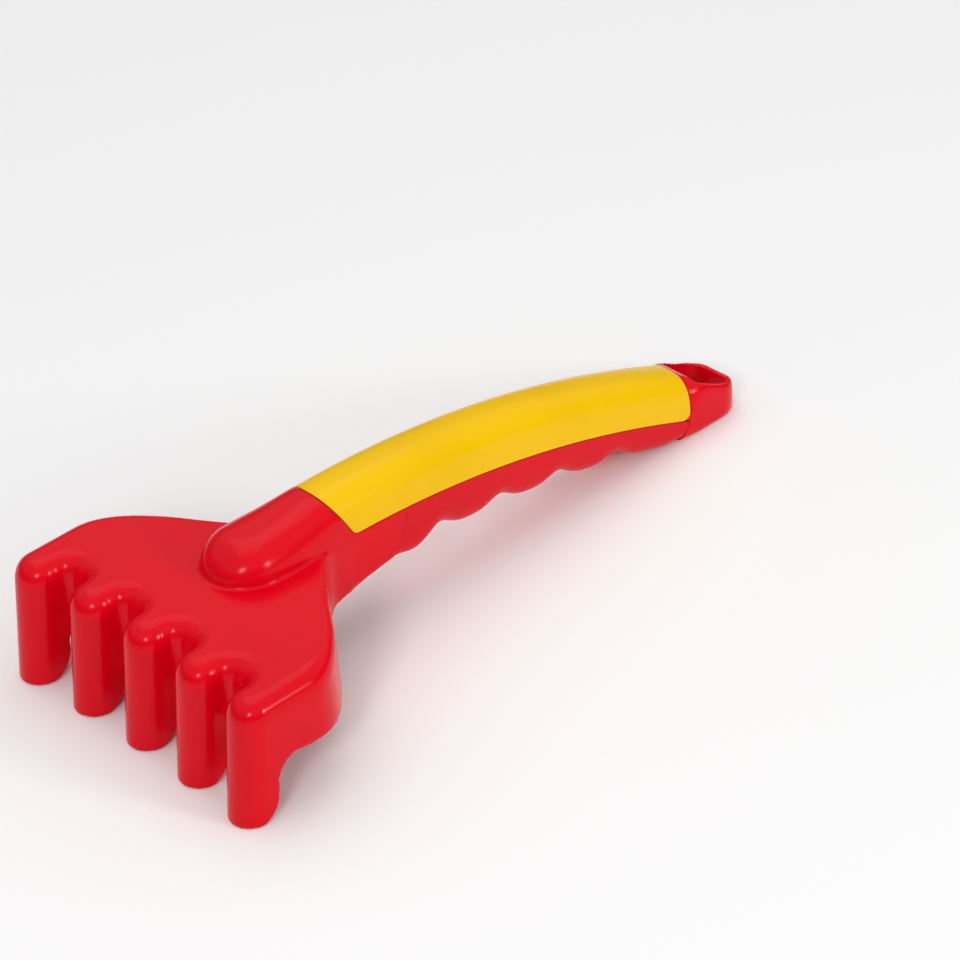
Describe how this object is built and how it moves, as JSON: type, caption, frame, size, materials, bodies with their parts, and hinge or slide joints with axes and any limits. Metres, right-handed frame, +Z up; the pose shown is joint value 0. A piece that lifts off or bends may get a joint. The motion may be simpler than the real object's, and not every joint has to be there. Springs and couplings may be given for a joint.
{
  "type": "sand rake",
  "caption": "Child's sand rake: a flared head with hollow down-turned tines, and an arched handle with a clip-on cover, a finger-lobed under shell and a hang loop.",
  "frame": {"origin": "on the ground under the middle of the bounding box, with the rake resting on its tine tips and the underside of its hang loop", "axes": "+X runs back from the tines to the hang loop, +Z up, +Y to the side"},
  "size_m": [0.2565, 0.119, 0.0535],
  "materials": {
    "body_plastic": "glossy injection-moulded red plastic",
    "cover_plastic": "satin injection-moulded yellow plastic",
    "shell_plastic": "glossy injection-moulded red plastic"
  },
  "bodies": {
    "root": {"rake_body": "body_plastic", "grip_cover": "cover_plastic", "grip_shell": "shell_plastic"}
  },
  "joints": []
}
